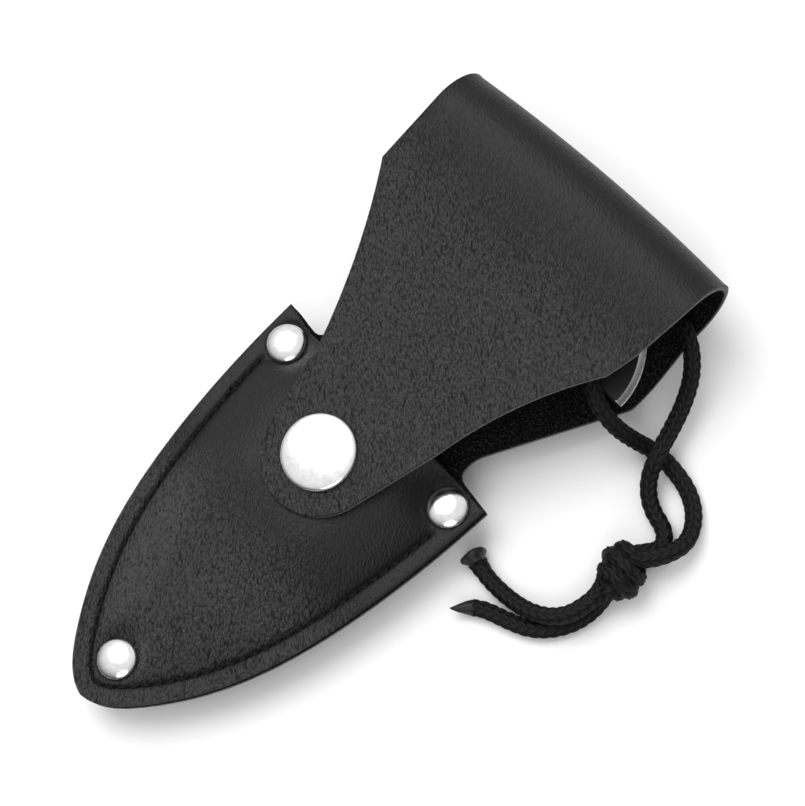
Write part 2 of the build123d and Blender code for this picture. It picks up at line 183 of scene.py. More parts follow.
def finish(name, colour, roughness, metallic=0.0, specular=0.5):
    """A new material with its even values set on the shader itself."""
    material = bpy.data.materials.new(name)
    material.use_nodes = True
    shader = material.node_tree.nodes["Principled BSDF"]
    shader.inputs["Base Color"].default_value = (*colour, 1)
    shader.inputs["Roughness"].default_value = roughness
    shader.inputs["Metallic"].default_value = metallic
    shader.inputs["Specular IOR Level"].default_value = specular
    return material, material.node_tree, shader


def add(tree, kind, sources=(), **settings):
    """Add a node, set its values and wire its inputs."""
    node = tree.nodes.new(kind)
    for name, value in settings.items():
        setattr(node, name, value)
    for socket, source in dict(sources).items():
        if isinstance(source, bpy.types.NodeSocket):
            tree.links.new(source, node.inputs[socket])
        else:
            node.inputs[socket].default_value = source
    return node


def place(tree, cell=(1, 1, 1), turn=0.0, space="Object"):
    """Texture coordinates counted in cells of this many millimetres, turned in their plane."""
    source = add(tree, "ShaderNodeTexCoord").outputs[space]
    unit = MM if space == "Object" else 1 / FLAT_SIZE
    values = {"Vector": source, "Rotation": (0, 0, turn), "Scale": [side * unit for side in cell]}
    return add(tree, "ShaderNodeMapping", values, vector_type="TEXTURE").outputs["Vector"]


def noise(tree, where, scale, detail=3, roughness=0.5):
    values = {"Vector": where, "Scale": scale, "Detail": detail, "Roughness": roughness}
    return add(tree, "ShaderNodeTexNoise", values).outputs["Fac"]


def between(tree, factor, low, high, start=0.0, end=1.0):
    """Turn a pattern that runs from start to end into a value between two others."""
    values = {"Value": factor, "From Min": start, "From Max": end, "To Min": low, "To Max": high}
    return add(tree, "ShaderNodeMapRange", values).outputs["Result"]


def maths(tree, operation, *values, kind="ShaderNodeMath"):
    """One step of arithmetic on values or sockets."""
    return add(tree, kind, dict(enumerate(values)), operation=operation).outputs[0]


def tint(tree, factor, dark, light, low=0.3, high=0.7):
    """Turn a pattern into a colour between two others."""
    node = add(tree, "ShaderNodeValToRGB", {"Fac": factor})
    node.color_ramp.elements[0].position = low
    node.color_ramp.elements[0].color = (*dark, 1)
    node.color_ramp.elements[1].position = high
    node.color_ramp.elements[1].color = (*light, 1)
    return node.outputs["Color"]


def bump(tree, height, strength, distance):
    """Raise the shading by a pattern, over a distance in millimetres."""
    values = {"Height": height, "Strength": strength, "Distance": distance * MM}
    return add(tree, "ShaderNodeBump", values).outputs["Normal"]


def wire(shader, **sources):
    """Drive the shader's colour, roughness or normal by patterns."""
    names = {"colour": "Base Color", "roughness": "Roughness", "normal": "Normal"}
    for key, source in sources.items():
        shader.id_data.links.new(source, shader.inputs[names[key]])

# %% [markdown]
# ## Lanyard
# One length of soft braided cord goes through the hole in the steel, and its two halves are tied
# together in a knot. Each half is a curve from the hole to its free end. In the knot both halves
# turn about the same line, half a turn apart, which gives its round, lumpy wraps.

# %% Route the two halves of the lanyard
CORD = 0.0034
KNOT = Vector((0.0584, 0.0221, 0.0053))
KNOT_LENGTH = 0.0082
KNOT_RADIUS, KNOT_FLATNESS = 0.0040, 0.0034
KNOT_LEAN = 0.0012
KNOT_PHASE = 0.9
TURNS = 1.5
WRAP_STEPS = 20


def knot_wraps(phase):
    """Points of one half of the cord as it turns about the knot's line, towards the free ends."""
    points = []
    for number in range(WRAP_STEPS + 1):
        share = number / WRAP_STEPS
        angle = phase + 2 * math.pi * TURNS * share
        reach = 0.45 + 0.55 * math.sin(math.pi * min(1, max(0, share * 1.25 - 0.125))) ** 0.5
        along = KNOT_LENGTH * (0.5 - share)
        points.append((
            KNOT.x + KNOT_RADIUS * reach * math.cos(angle),
            KNOT.y + along - KNOT_LEAN * reach * math.cos(angle),
            KNOT.z + KNOT_FLATNESS * reach * math.sin(angle),
        ))
    return points


OUTER_HALF = [
    (0.0104, 0.0528, 0.0142), (0.0103, 0.0526, 0.0172), (0.0140, 0.0512, 0.0184),
    (0.0196, 0.0486, 0.0180), (0.0284, 0.0436, 0.0176), (0.0336, 0.0414, 0.0152),
    (0.0377, 0.0412, 0.0112), (0.0415, 0.0429, 0.0058), (0.0448, 0.0448, 0.0020),
    (0.0507, 0.0446, 0.0018), (0.0559, 0.0434, 0.0018), (0.0602, 0.0406, 0.0019),
    (0.0632, 0.0360, 0.0034), (0.0626, 0.0306, 0.0058),
]
INNER_HALF = [
    (0.0102, 0.0528, 0.0136), (0.0104, 0.0530, 0.0106), (0.0140, 0.0550, 0.0104),
    (0.0184, 0.0574, 0.0106), (0.0260, 0.0631, 0.0109), (0.0313, 0.0660, 0.0122),
    (0.0366, 0.0639, 0.0126), (0.0404, 0.0602, 0.0098), (0.0425, 0.0558, 0.0066),
    (0.0444, 0.0504, 0.0056), (0.0467, 0.0437, 0.0070), (0.0486, 0.0388, 0.0042),
    (0.0525, 0.0356, 0.0024), (0.0582, 0.0344, 0.0018), (0.0604, 0.0310, 0.0020),
]
MELTED_TAIL = [
    (0.0586, 0.0150, 0.0058), (0.0583, 0.0118, 0.0058), (0.0574, 0.0084, 0.0057),
    (0.0550, 0.0054, 0.0052), (0.0512, 0.0034, 0.0040), (0.0469, 0.0024, 0.0025),
    (0.0420, 0.0020, 0.0018), (0.0382, 0.0022, 0.0018), (0.0355, 0.0028, 0.0018),
]
CUT_TAIL = [
    (0.0594, 0.0150, 0.0026), (0.0594, 0.0118, 0.0019), (0.0586, 0.0080, 0.0018),
    (0.0564, 0.0040, 0.0018), (0.0532, 0.0009, 0.0018), (0.0492, -0.0009, 0.0018),
    (0.0454, -0.0022, 0.0018), (0.0430, -0.0033, 0.0018), (0.0418, -0.0043, 0.0018),
]


def follow(name, points):
    """Closely spaced points along the smooth NURBS line that these points steer."""
    line = bpy.data.curves.new(name, "CURVE")
    line.dimensions = "3D"
    spline = line.splines.new("NURBS")
    spline.points.add(len(points) - 1)
    for spot, point in zip(spline.points, points):
        spot.co = (*point, 1)
    spline.order_u = 3
    spline.use_endpoint_u = True
    spline.resolution_u = 24
    guide = bpy.data.objects.new(name, line)
    mesh = bpy.data.meshes.new_from_object(guide)
    path = np.array([vertex.co for vertex in mesh.vertices])
    bpy.data.objects.remove(guide)
    bpy.data.meshes.remove(mesh)
    return path


def spaced(path, step):
    """The same line with its points evenly spaced, and its length."""
    along = distances(path)
    stations = np.linspace(0, along[-1], max(2, round(along[-1] / step)) + 1)
    return resampled(path, stations, along), stations


outer_path = follow("outer_route", OUTER_HALF + knot_wraps(KNOT_PHASE) + MELTED_TAIL)
inner_path = follow("inner_route", INNER_HALF + knot_wraps(KNOT_PHASE + math.pi) + CUT_TAIL)
for label, path in (("outer", outer_path), ("inner", inner_path)):
    print(label, "half is", round(float(spaced(path, 0.001)[1][-1]) * 1000, 1), "mm long")

# %% [markdown]
# The cord is a hollow braid: slanting stitches in columns round it, each column leaning the other
# way, so that two neighbours make a V. The tube's points are raised where a stitch swells and lie low
# between stitches, so the braid is real shape and not only shading.

# %% Braid a tube along each route
COLUMNS = 8
PLAIT = 0.00190        # length of one stitch
AROUND = 48            # points round the cord
BRAID_STEP = 0.00021   # from one ring of points to the next


def braid_height(turn, station):
    """0 in the braid's valleys and 1 on its crests, for a share of a turn and a place along."""
    column = turn * COLUMNS
    inside = column - np.floor(column)
    leaning = np.where(np.floor(column) % 2 == 0, 1.0, -1.0)
    along = station / PLAIT + leaning * (inside - 0.5)
    stitch = np.abs(np.cos(math.pi * along)) ** 0.55
    across = np.clip(1 - (2 * inside - 1) ** 2, 0, 1) ** 0.5
    return stitch * (0.35 + 0.65 * across)


def braided(name, path, radius_at):
    """A tube round a line, its surface raised in the pattern of a braid."""
    centres, stations = spaced(path, BRAID_STEP)
    headings = np.gradient(centres, axis=0)
    headings /= np.linalg.norm(headings, axis=1)[:, None]
    side = Vector((0, 0, 1)).cross(Vector(headings[0])).normalized()
    sides = []
    for before, after in zip(np.vstack([headings[:1], headings[:-1]]), headings):
        side = Vector(before).rotation_difference(Vector(after)) @ side
        sides.append(side)
    sides = np.array(sides)
    ups = np.cross(headings, sides)
    turns = np.arange(AROUND) / AROUND
    height = braid_height(turns[None, :], stations[:, None])
    radius = radius_at(stations, stations[-1])[:, None] * (0.82 + 0.27 * height)
    ring = np.cos(2 * math.pi * turns)[None, :, None] * sides[:, None]
    ring = ring + np.sin(2 * math.pi * turns)[None, :, None] * ups[:, None]
    points = centres[:, None] + radius[:, :, None] * ring
    rows = len(stations)
    faces = []
    for row in range(rows - 1):
        low, high = row * AROUND, (row + 1) * AROUND
        for spot in range(AROUND):
            following = (spot + 1) % AROUND
            faces.append((low + spot, low + following, high + following, high + spot))
    faces.append(tuple(reversed(range(AROUND))))
    faces.append(tuple(range((rows - 1) * AROUND, rows * AROUND)))
    mesh = bpy.data.meshes.new(name)
    mesh.from_pydata(points.reshape(-1, 3).tolist(), [], faces)
    crest = mesh.attributes.new("crest", "FLOAT", "POINT")
    crest.data.foreach_set("value", height.astype(np.float32).ravel())
    layer = mesh.uv_layers.new(name="along")
    corners = np.array([loop.vertex_index for loop in mesh.loops])
    across = (corners % AROUND) / AROUND
    up = stations[corners // AROUND] / stations[-1]
    layer.data.foreach_set("uv", np.stack([across, up], axis=1).astype(np.float32).ravel())
    piece = new_object(name, mesh)
    pick(piece)
    bpy.ops.object.shade_smooth()
    print(name, "has", len(mesh.polygons), "faces")
    return piece, centres


def melted_end(stations, length):
    """Radius of the half whose end was melted: it flares a little before the bead."""
    return CORD / 2 * (1 + 0.16 * ramp(stations, length - 0.0030, length))


def cut_end(stations, length):
    """Radius of the half whose end was cut: it stays even as far as its point."""
    return np.full_like(stations, CORD / 2)


lanyard_outer, outer_centres = braided("lanyard_outer", outer_path, melted_end)
lanyard_inner, inner_centres = braided("lanyard_inner", inner_path, cut_end)

# %% [markdown]
# Nylon cord frays, so its ends are sealed with a flame. One end has melted into a blunt bead, wider
# than the cord; the other was cut on a slant, and its point has drawn out.

# %% Seal the ends
def turned(name, rings, segments=48, twist=0.0, flatten=1.0):
    """Build a round part from its rings (radius, height), going up the outside to the top."""
    let_go()
    radius, height = rings[0]
    bpy.ops.mesh.primitive_circle_add(
        vertices=segments, radius=radius, location=(0, 0, height), fill_type="NGON"
    )
    piece = bpy.context.object
    piece.name = piece.data.name = name
    bpy.ops.object.transform_apply(location=True)
    open_up(piece)
    bpy.ops.transform.resize(value=(1, flatten, 1), center_override=(0, 0, height))
    for next_radius, next_height in rings[1:]:
        bpy.ops.mesh.extrude_region_move(
            TRANSFORM_OT_translate={"value": (0, 0, next_height - height)}
        )
        share = next_radius / radius
        bpy.ops.transform.resize(value=(share, share, 1), center_override=(0, 0, next_height))
        if twist:
            bpy.ops.transform.rotate(
                value=twist, orient_axis="Z", center_override=(0, 0, next_height)
            )
        radius, height = next_radius, next_height
    bpy.ops.mesh.select_all(action="SELECT")
    bpy.ops.mesh.normals_make_consistent(inside=False)
    let_go()
    return piece


def stand_on(piece, centres):
    """Put a piece on the end of a cord's centre line, with its own Z along the cord."""
    heading = Vector(centres[-1] - centres[-4]).normalized()
    turn = Vector((0, 0, 1)).rotation_difference(heading).to_matrix().to_4x4()
    piece.data.transform(at(*centres[-1]) @ turn)


BEAD = [(1.80, -0.6), (1.95, 0.0), (2.35, 0.5), (2.68, 0.85), (2.74, 1.35), (2.5, 1.85), (1.80, 2.12),
        (0.7, 2.2)]
LUMP = 0.05
melted_bead = turned("melted_bead", BEAD, segments=28)
bead_points = points_of(melted_bead)
across, up = bead_points[:, :1], bead_points[:, 1:2]
lumps = 1 + LUMP * np.sin(3.1 * across + 1.7) + LUMP * np.cos(2.3 * up)
move_points(melted_bead, bead_points * np.hstack([lumps, lumps, np.ones_like(lumps)]))
bring_home(melted_bead)
stand_on(melted_bead, outer_centres)
lift = 0.0001 - min(vertex.co.z for vertex in melted_bead.data.vertices)
melted_bead.data.transform(at(0, 0, max(0, lift)))

POINT = [(1.66, -0.4), (1.62, 0.4), (1.35, 1.5), (0.85, 2.9), (0.40, 3.9), (0.12, 4.5)]
cut_point = turned("cut_point", POINT, segments=28)
slanted = points_of(cut_point)
slanted[:, 0] += 1.35 * ramp(slanted[:, 2], 0.2, 4.5)
move_points(cut_point, slanted)
bring_home(cut_point)
stand_on(cut_point, inner_centres)

# %% [markdown]
# ## The hide
# Back, fold and flap are one blank of leather. It is drawn flat, as a leather worker would cut it:
# across the sheath it is measured from the centre line, and along it from the pocket's point, up the
# back, round the fold and down the flap. All hides are 1.7 mm thick.

# %% The blank's measures
HIDE = 1.7
BACK_BOTTOM = 7.0
POCKET_LENGTH = 85.4
POCKET_HALF = 31.4
NECK_HALF = 21.3
SHOULDER_HALF = 36.6
FOLD_HALF = 36.2
POINT_Y = -74.6
FOLD_Y = 65.1
FOLD_Z = 16.5
FOLD_OUTSIDE = 9.5
FLAP_SLOPE = math.radians(5.07)
BACK_LENGTH = FOLD_Y - POINT_Y
FOLD_MIDDLE = FOLD_OUTSIDE - HIDE / 2
FOLD_LENGTH = FOLD_MIDDLE * (math.pi + FLAP_SLOPE)
FLAP_START = BACK_LENGTH + FOLD_LENGTH
TAB_ASIDE, TAB_BACK = 1.0, 0.45
SNAP_ALONG = 70.39 - TAB_BACK
TAB_RADIUS = 13.0
SEAM_INSET = 4.0
TIP_RIVET = (0.0, -64.2)
MOUTH_RIVETS = [(-25.3, 5.8), (25.3, 5.8)]
MOUTH_Y = POINT_Y + POCKET_LENGTH
SNAP_Y = -5.7
print("flat blank is", round(FLAP_START + SNAP_ALONG + TAB_RADIUS, 1), "mm long")


# %% Draw outlines
def smooth_through(points, start, end, count):
    """Points on a smooth cubic line through the given points, with its end headings."""
    points = np.array(points, float)
    knots = distances(points)
    gaps = np.diff(knots)
    slopes = np.diff(points, axis=0) / gaps[:, None]
    size = len(points)
    system, wanted = np.eye(size), np.zeros((size, 2))
    wanted[0], wanted[-1] = start, end
    for row in range(1, size - 1):
        system[row, row - 1:row + 2] = gaps[row], 2 * (gaps[row - 1] + gaps[row]), gaps[row - 1]
        wanted[row] = 3 * (gaps[row] * slopes[row - 1] + gaps[row - 1] * slopes[row])
    headings = np.linalg.solve(system, wanted)
    line = []
    for stop in np.linspace(0, knots[-1], count):
        span = min(np.searchsorted(knots, stop, "right") - 1, size - 2)
        t, gap = (stop - knots[span]) / gaps[span], gaps[span]
        line.append(
            (2 * t**3 - 3 * t**2 + 1) * points[span] + (t**3 - 2 * t**2 + t) * gap * headings[span]
            + (3 * t**2 - 2 * t**3) * points[span + 1] + (t**3 - t**2) * gap * headings[span + 1]
        )
    return np.array(line)


def leaf_side(half, tip, end, count=120):
    """Right-hand edge of the leaf-shaped pocket, from its point."""
    shape = [(0.36, 0.10), (0.66, 0.285), (0.90, 0.60), (1.0, 1.0)]
    points = [(0, tip)] + [(half * across, tip + (end - tip) * up) for across, up in shape]
    return smooth_through(points, (1.0, 0.12), (0.03, 1.0), count)


def arc(centre, radius, start, end, count):
    angles = np.linspace(start, end, count)
    return np.array(centre) + radius * np.stack([np.cos(angles), np.sin(angles)], axis=1)


def rounded(points, radii, count=7):
    """A run of straight lines with its inner corners rounded."""
    points = [Vector(point) for point in points]
    line = [tuple(points[0])]
    for before, corner, after, radius in zip(points, points[1:], points[2:], radii):
        back, on = (before - corner).normalized(), (after - corner).normalized()
        half = back.angle(on) / 2
        middle = corner + (back + on).normalized() * radius / math.sin(half)
        reach = radius / math.tan(half)
        start, end = corner + back * reach - middle, corner + on * reach - middle
        for share in np.linspace(0, 1, count):
            spoke = start.lerp(end, share).normalized() * radius
            line.append(tuple(middle + spoke))
    return np.array(line + [tuple(points[-1])])


def evenly(line, step):
    """The same line with evenly spaced points."""
    along = distances(line)
    stations = np.linspace(0, along[-1], max(2, math.ceil(along[-1] / step)) + 1)
    return resampled(line, stations, along)


def whole(right, left=None):
    """Close a right-hand side with its mirror image, or with another side drawn on the right."""
    other = right if left is None else left
    return np.vstack([right, other[::-1][1:-1] * (-1, 1)])


def flap_side(shoulder, waist, bend, aside):
    """One edge of the flap, from its shoulder through its curve to the middle of its round tab."""
    shoulder, waist, bend = ((x, FLAP_START + down) for x, down in (shoulder, waist, bend))
    a, b, c = (complex(*point) for point in (shoulder, waist, bend))
    w = (c - a) / (b - a)
    centre = a + (b - a) * (w - abs(w) ** 2) / (w - w.conjugate())
    centre, radius = (centre.real, centre.imag), abs(a - centre)
    ends = (shoulder, bend)
    angles = [math.atan2(y - centre[1], x - centre[0]) % (2 * math.pi) for x, y in ends]
    flank = arc(centre, radius, *angles, 24)
    snap = (aside, FLAP_START + SNAP_ALONG)
    reach = math.dist(bend, snap)
    away = math.atan2(bend[1] - snap[1], bend[0] - snap[0]) + math.acos(TAB_RADIUS / reach)
    tab = arc(snap, TAB_RADIUS, away, math.pi / 2, 16)
    return np.vstack([flank, tab])


def blank_side(shoulder, waist, bend, aside):
    """One edge of the whole blank, from the pocket's point up the back and down the flap."""
    side = leaf_side(POCKET_HALF, 0, POCKET_LENGTH)
    neck = rounded(
        [side[-1], (NECK_HALF, 86.6), (NECK_HALF, 91.6), (SHOULDER_HALF, BACK_LENGTH - 18.4),
         (FOLD_HALF, BACK_LENGTH), (FOLD_HALF, FLAP_START), (shoulder[0], FLAP_START + shoulder[1])],
        [2.5, 9.0, 3.0, 30.0, 30.0],
    )
    flap_edge = flap_side(shoulder, waist, bend, aside)
    return np.vstack([evenly(side, 1.0)[:-1], evenly(neck, 1.0)[:-1], evenly(flap_edge, 1.0)])


RIGHT_FLANK = ((32.2, 18.9), (24.6, 33.4), (18.6, 53.4), TAB_ASIDE)
LEFT_FLANK = ((35.3, 17.8), (25.1, 34.2), (16.2, 54.6), -TAB_ASIDE)
outline = whole(blank_side(*RIGHT_FLANK), blank_side(*LEFT_FLANK))
print("outline has", len(outline), "points")

# %% [markdown]
# A blank starts as a flat disc of points moved onto the outline. Two narrow insets make room for its
# softened edge: Solidify reads a vertex group and makes the hide thinner there, as a beveller does.

# %% Cut a blank
EDGE_THICKNESS = {0: 0.55, 1: 0.85}
EDGE_INSETS = (0.18, 0.35)


def cut_blank(name, outline):
    """A flat piece of hide cut to an outline, with its two edge rings weighted, not yet thick."""
    let_go()
    bpy.ops.mesh.primitive_circle_add(vertices=len(outline), radius=1, fill_type="NGON")
    piece = bpy.context.object
    piece.name = piece.data.name = name
    move_points(piece, np.column_stack([outline, np.zeros(len(outline))]))
    open_up(piece)
    for width in EDGE_INSETS:
        bpy.ops.mesh.inset(thickness=width)
    let_go()
    group = piece.vertex_groups.new(name="edge")
    count = len(outline)
    for vertex in piece.data.vertices:
        ring = min(vertex.index // count, 2)
        group.add([vertex.index], EDGE_THICKNESS.get(ring, 1.0), "REPLACE")
    if piece.data.polygons[0].normal.z < 0:
        open_up(piece)
        bpy.ops.mesh.flip_normals()
    return piece


def score(piece, direction, stations):
    """Cut straight lines across a flat piece, so that it can bend along them."""
    open_up(piece)
    for station in stations:
        bpy.ops.mesh.select_all(action="SELECT")
        bpy.ops.mesh.bisect(
            plane_co=Vector(direction) * float(station), plane_no=direction, threshold=1e-5
        )
    let_go()


def thicken(piece, thickness):
    """Make a blank solid, half of its thickness to each side."""
    finish_with(
        piece, "SOLIDIFY", thickness=thickness, offset=0.0, vertex_group="edge",
        material_offset=1, material_offset_rim=2,
    )


def lay_flat_pattern(piece):
    """UV coordinates from the flat shape, so that the grain follows the hide when it bends."""
    layer = piece.data.uv_layers.active or piece.data.uv_layers.new(name="flat")
    points = points_of(piece)
    corners = np.array([loop.vertex_index for loop in piece.data.loops])
    flat = points[corners, :2] / FLAT_SIZE + (0.5, 0)
    layer.data.foreach_set("uv", flat.astype(np.float32).ravel())


hide = cut_blank("hide", outline)
FOLD_MARGIN = 2.0
FOLD_LINES = 33
seams = (BACK_LENGTH - FOLD_MARGIN, FLAP_START + FOLD_MARGIN)
back_lines = np.arange(4, BACK_LENGTH - 4, 4)
flap_lines = np.arange(FLAP_START + 6, FLAP_START + 82, 3)
score(hide, (0, 1, 0), [*back_lines, *flap_lines])
score(hide, (0, 1, 0), [*seams, *np.linspace(BACK_LENGTH, FLAP_START, FOLD_LINES)])
score(hide, (1, 0, 0), np.arange(-36, 37, 3.0))
make_slots(hide)
thicken(hide, HIDE)
lay_flat_pattern(hide)
print("flat hide has", len(hide.data.polygons), "faces")


# %% [markdown]
# The flat solid is divided at two lines, one on the back and one on the flap, so that the back stays
# with the sheath, the flap swings, and the strip between them is a piece of its own. Each
# cut is closed with a face. The hide is not quite even: the fold is bowed and slanted, and the left
# end of the mouth is drawn up a little.

# %% Divide and bend the hide
TAB_DRAPE = 0.95       # how far the tab's rim bends down
FLAP_BELLY = 0.35      # and how far the flap's middle swells
FLAP_SAG = 0.35
MOUTH_EAR = 1.6
FOLD_LIFT, FOLD_BOW = 1.0, 1.4
FOLD_DRAWN_IN = 1.5    # shorter at its right end


def part_of_hide(name, start, end):
    """A closed copy of the hide between two lines."""
    pick(hide)
    bpy.ops.object.duplicate()
    piece = bpy.context.object
    piece.name = piece.data.name = name
    for station, keep_above in ((start, True), (end, False)):
        if station is None:
            continue
        open_up(piece)
        bpy.ops.mesh.bisect(
            plane_co=(0, station, 0), plane_no=(0, 1, 0), use_fill=True, threshold=1e-5,
            clear_inner=keep_above, clear_outer=not keep_above,
        )
    let_go()
    return piece


def flap_drop(x, down):
    """How far the tab's edges drape towards the pocket, for a place down the flap."""
    away = np.hypot(x - TAB_ASIDE, down - SNAP_ALONG)
    near_tab = ramp(down, 40.0, 58.0)
    belly = FLAP_BELLY * np.cos(x / 30.0) * ramp(down, 2.0, 22.0) * (1 - ramp(down, 30.0, 55.0))
    sag = FLAP_SAG * (1 - near_tab) * ramp(down, 22, 45)
    return -TAB_DRAPE * ramp(away, 7.4, 12.3) * near_tab + belly - sag


def ear(x, y):
    """How far the left end of the pocket's mouth is drawn up."""
    return MOUTH_EAR * ramp(-x, 22.0, POCKET_HALF) * ramp(y, 3.0, 10.5) * (1 - ramp(y, 16.0, 24.0))


def bend(piece):
    """Bring the flat hide round: x, place along the hide, height above its middle."""
    flat = points_of(piece)
    x, along, height = flat.T
    angle = np.clip((along - BACK_LENGTH) / FOLD_MIDDLE, 0, math.pi + FLAP_SLOPE)
    before = np.minimum(along - BACK_LENGTH, 0)
    after = np.maximum(along - FLAP_START, 0)
    radius = FOLD_MIDDLE - height + flap_drop(x, after) * (after > 0)
    y = FOLD_Y + before + radius * np.sin(angle) + after * np.cos(angle)
    z = FOLD_Z - radius * np.cos(angle) + after * np.sin(angle)
    y += ear(x, y)
    near_fold = ramp(y, 50.0, 66.0)
    y += near_fold * (FOLD_LIFT + x / FOLD_HALF + FOLD_BOW * (1 - (x / FOLD_HALF) ** 2))
    x = x - FOLD_DRAWN_IN * near_fold * ramp(x, 8.0, FOLD_HALF)
    move_points(piece, np.column_stack([x, y, z]))


back_panel = part_of_hide("back_hide", None, seams[0])
fold_strip = part_of_hide("fold_hide", *seams)
flap = part_of_hide("flap_hide", seams[1], None)
for piece in (back_panel, fold_strip, flap):
    bend(piece)
    bring_home(piece)
bpy.data.objects.remove(hide)

# %% [markdown]
# ## The pocket's front
# The front is a leaf of the same hide, wet-moulded over the tool: a flat rim to sew through, then a
# soft rise to a flat top. Its grid runs round the rim: each column of points lies at one distance from
# the cut edge, so that the stitching groove and the rise follow the edge exactly.

# %% Mould the pocket's front
FLANGE_TOP = BACK_BOTTOM + 2 * HIDE
POCKET_TOP = 16.052
EDGE_RIM, EDGE_BAND = 0.18, 0.5
RINGS = [0, EDGE_RIM, EDGE_BAND, 1.2, 2.1, 2.8, 3.2, 3.5, 3.75, 4.0, 4.25, 4.5, 4.8, 5.2, 5.7, 6.3, 7,
         7.8, 8.6, 9.5, 10.4, 11.4, 12.4, 13.4, 14.4]
INNER_COLUMNS = 10
ROWS = 150
SIDE_LENGTH = 95.0     # about the length of one side of the leaf
RIVETS = (TIP_RIVET, *MOUTH_RIVETS)
GROOVE_DEPTH, GROOVE_WIDTH = 0.50, 0.50
edge_line = leaf_side(POCKET_HALF, POINT_Y, MOUTH_Y, 600)
edge_heading = np.gradient(edge_line, axis=0)
edge_heading /= np.linalg.norm(edge_heading, axis=1)[:, None]
inward = np.stack([-edge_heading[:, 1], edge_heading[:, 0]], axis=1)


def offset_edge(inset):
    """The line at one distance inside the cut edge, from the centre line to the mouth."""
    line = edge_line + inset * inward
    first = int(np.argmax(line[:, 0] >= 0))
    if first:
        low, high = line[first - 1], line[first]
        start = low + (high - low) * (0 - low[0]) / (high[0] - low[0])
        line = np.vstack([start, line[first:]])
    line[-1, 1] = MOUTH_Y
    line[:, 1] = np.minimum(line[:, 1], MOUTH_Y)
    return line


def at_shares(line, shares):
    runs = np.linalg.norm(np.diff(line, axis=0), axis=1)
    along = np.concatenate([[0], np.cumsum(runs)]) / runs.sum()
    return np.stack([np.interp(shares, along, line[:, axis]) for axis in range(2)], axis=1)


def stitched(y):
    """1 along the seam and 0 past its last stitch, just below the mouth's rivets."""
    return 1 - ramp(y, MOUTH_RIVETS[0][1] - 6.0, MOUTH_RIVETS[0][1] - 4.6)


def dimple(x, y, centre, radius, depth, soft):
    away = np.hypot(x - centre[0], y - centre[1])
    return depth * (1 - ramp(away, radius, radius + soft))


def pocket_height(x, y, inset):
    """Height of the front's outer face."""
    room = inset - SEAM_INSET - 0.4
    for rivet_x, rivet_y in RIVETS:
        beyond = 1.5 * (np.hypot(x - rivet_x, y - rivet_y) - 4.5)
        room = -1.6 * np.logaddexp(-room / 1.6, -beyond / 1.6)
    rise = (POCKET_TOP - FLANGE_TOP) * (1 - (1 - np.clip(room / 18.0, 0, 1)) ** 2.7)
    crown = 0.55 * ramp(inset, 9.0, 22.0) * ramp(y, -60.0, -25.0)
    stud_seat = dimple(x, y, (0, SNAP_Y), 5.2, 1.0, 4.0) * crown
    groove = GROOVE_DEPTH * np.exp(-((inset - SEAM_INSET) / GROOVE_WIDTH) ** 2) * stitched(y)
    seats = sum(dimple(x, y, centre, 4.15, 0.22, 0.9) for centre in RIVETS)
    return FLANGE_TOP + rise + crown - stud_seat - groove - seats


def edge_softening(distance):
    """How much lower the face lies close to a cut edge."""
    return np.interp(distance, [0, EDGE_RIM, EDGE_BAND], [0.38, 0.12, 0])


def mould_pocket():
    """The front's outer face: a grid of points, its right half moulded and then mirrored."""
    let_go()
    columns = len(RINGS) - 1 + INNER_COLUMNS
    bpy.ops.mesh.primitive_grid_add(x_subdivisions=columns, y_subdivisions=ROWS, size=2)
    piece = bpy.context.object
    piece.name = piece.data.name = "pocket_hide"
    grid = points_of(piece)
    column = np.rint((grid[:, 0] + 1) / 2 * columns).astype(int)
    row = np.rint((grid[:, 1] + 1) / 2 * ROWS).astype(int)
    band, rim = 1 - EDGE_BAND / SIDE_LENGTH, 1 - EDGE_RIM / SIDE_LENGTH
    shares = np.concatenate([np.linspace(0, 1, ROWS - 1)[:-1] * band, [band, rim, 1]])
    rings = np.array([at_shares(offset_edge(inset), shares) for inset in RINGS])
    last = rings[-1]
    centre = np.column_stack([np.zeros(ROWS + 1), last[0, 1] + (MOUTH_Y - last[0, 1]) * shares])
    inner = [last + (centre - last) * share for share in np.linspace(0, 1, INNER_COLUMNS + 1)[1:]]
    plan = np.concatenate([rings, inner])
    insets = np.array([*RINGS, *np.linspace(RINGS[-1], POCKET_HALF, INNER_COLUMNS + 1)[1:]])
    x, y = plan[column, row].T
    inset = insets[column]
    z = pocket_height(x, y, inset)
    z -= edge_softening(np.minimum(inset, MOUTH_Y - y))
    move_points(piece, np.column_stack([x, y, z]))
    finish_with(
        piece, "MIRROR", use_axis=(True, False, False), use_clip=True, merge_threshold=0.001
    )
    return piece


pocket = mould_pocket()
open_up(pocket)
bpy.ops.mesh.remove_doubles(threshold=0.0005)
bpy.ops.mesh.normals_make_consistent(inside=False)
let_go()
if np.mean([face.normal.z for face in pocket.data.polygons]) < 0:
    open_up(pocket)
    bpy.ops.mesh.flip_normals()
    let_go()
make_slots(pocket)
finish_with(
    pocket, "SOLIDIFY", thickness=HIDE, offset=-1, use_even_offset=True,
    material_offset=1, material_offset_rim=2,
)
lay_flat_pattern(pocket)


